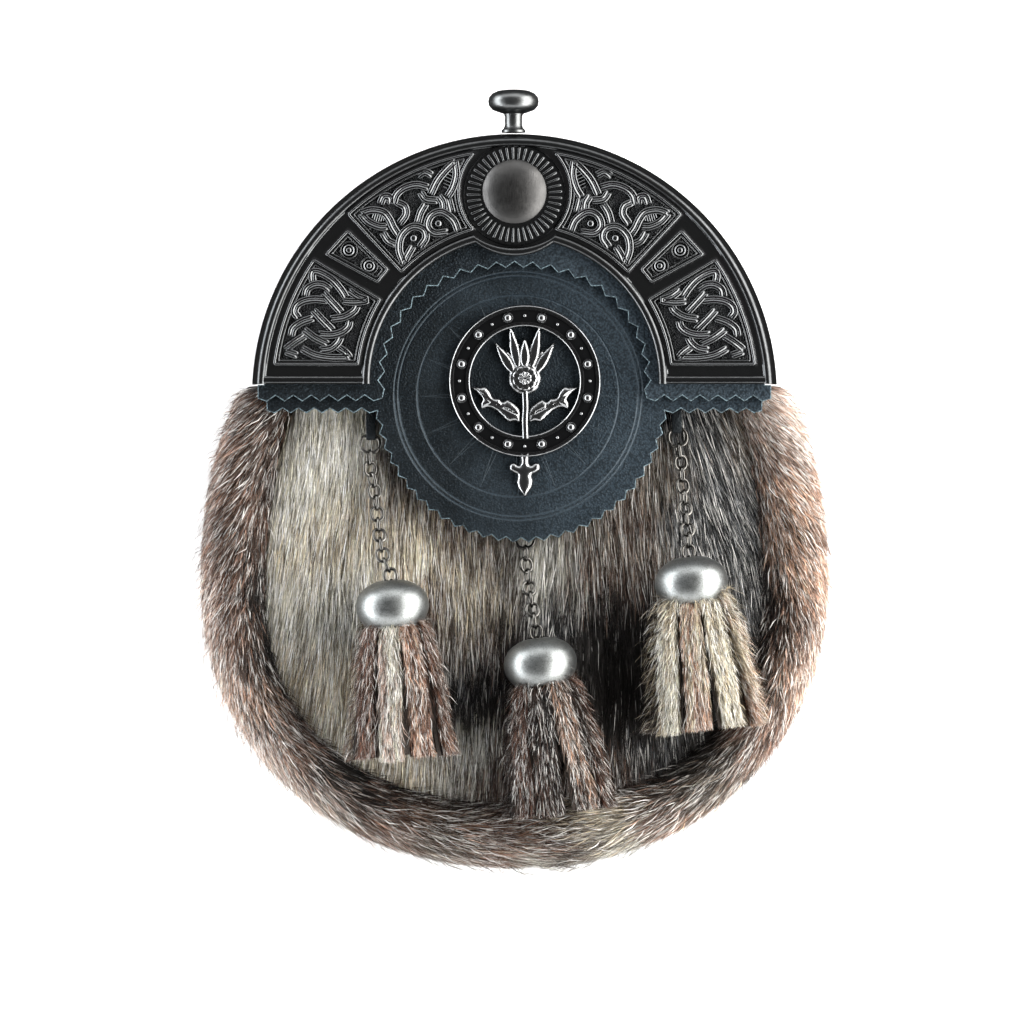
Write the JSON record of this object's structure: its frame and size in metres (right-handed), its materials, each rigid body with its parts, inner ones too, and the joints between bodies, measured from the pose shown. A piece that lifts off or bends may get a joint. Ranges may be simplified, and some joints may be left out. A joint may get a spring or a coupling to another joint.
{
  "type": "sporran pouch",
  "caption": "Round fur bag with a cast half-ring cantle, a pinked leather flap, a pierced badge and fur tassels under bells on cable chains, lying on its back.",
  "frame": {"origin": "under the middle of the outline, on the surface that the back rests on", "axes": "+X to the right of the front, +Y up towards the knob, +Z out of the front"},
  "size_m": [0.19, 0.2346, 0.0523],
  "materials": {
    "black_leather": "fine grain, satin",
    "gusset_fur": "fur, reddish brown with pale tips",
    "front_fur": "fur, cream to dark brown",
    "tassel_fur": "fur strips",
    "dark_nickel": "polished dark nickel",
    "brushed_metal": "satin pewter",
    "chain_steel": "dark"
  },
  "bodies": {
    "root": {"back_panel": "black_leather", "gusset": "gusset_fur", "front_panel": "front_fur", "top_gusset_left": "black_leather", "top_gusset_right": "black_leather", "strap_keeper_left": "black_leather", "strap_keeper_right": "black_leather", "flap": "black_leather", "cantle_backing": "black_leather", "cantle": "dark_nickel", "boss": "brushed_metal", "knob": "brushed_metal", "badge": "dark_nickel", "chain_loop_left": "black_leather", "chain_loop_middle": "black_leather", "chain_loop_right": "black_leather", "chain_left": "chain_steel", "chain_middle": "chain_steel", "chain_right": "chain_steel", "bell_left": "brushed_metal", "bell_middle": "brushed_metal", "bell_right": "brushed_metal", "tassel_left": "tassel_fur", "tassel_middle": "tassel_fur", "tassel_right": "tassel_fur"}
  },
  "joints": []
}
